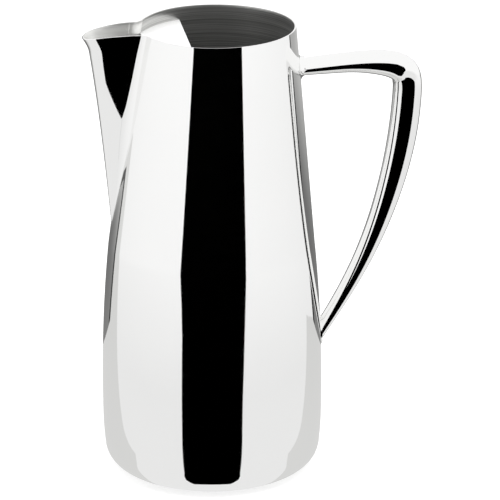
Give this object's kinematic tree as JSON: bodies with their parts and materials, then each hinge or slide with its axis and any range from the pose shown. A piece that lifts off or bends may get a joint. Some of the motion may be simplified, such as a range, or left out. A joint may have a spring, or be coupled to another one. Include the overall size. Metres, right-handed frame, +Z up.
{
  "type": "water pitcher",
  "caption": "Tall tapered steel water jug with a V-shaped pouring spout, a flat ice guard inside the mouth and an angular loop handle.",
  "frame": {"origin": "centre of the foot, on the surface the jug stands on", "axes": "+Z up along the body's axis, +X toward the handle, -X toward the spout"},
  "size_m": [0.1745, 0.114, 0.235],
  "materials": {
    "body_steel": "mirror-polished stainless steel outside, brushed inside",
    "base_steel": "satin stainless steel",
    "spout_steel": "mirror-polished stainless steel outside, satin inside",
    "guard_steel": "mirror-polished stainless steel",
    "handle_steel": "mirror-polished stainless steel",
    "weld_steel": "ground and polished weld metal"
  },
  "bodies": {
    "root": {"body_shell": "body_steel", "base_disc": "base_steel", "base_weld": "weld_steel", "spout": "spout_steel", "spout_weld_left": "weld_steel", "spout_weld_right": "weld_steel", "ice_guard": "guard_steel", "guard_weld_left": "weld_steel", "guard_weld_right": "weld_steel", "handle_left": "handle_steel", "handle_right": "handle_steel", "handle_weld_upper": "weld_steel", "handle_weld_lower": "weld_steel"}
  },
  "joints": []
}
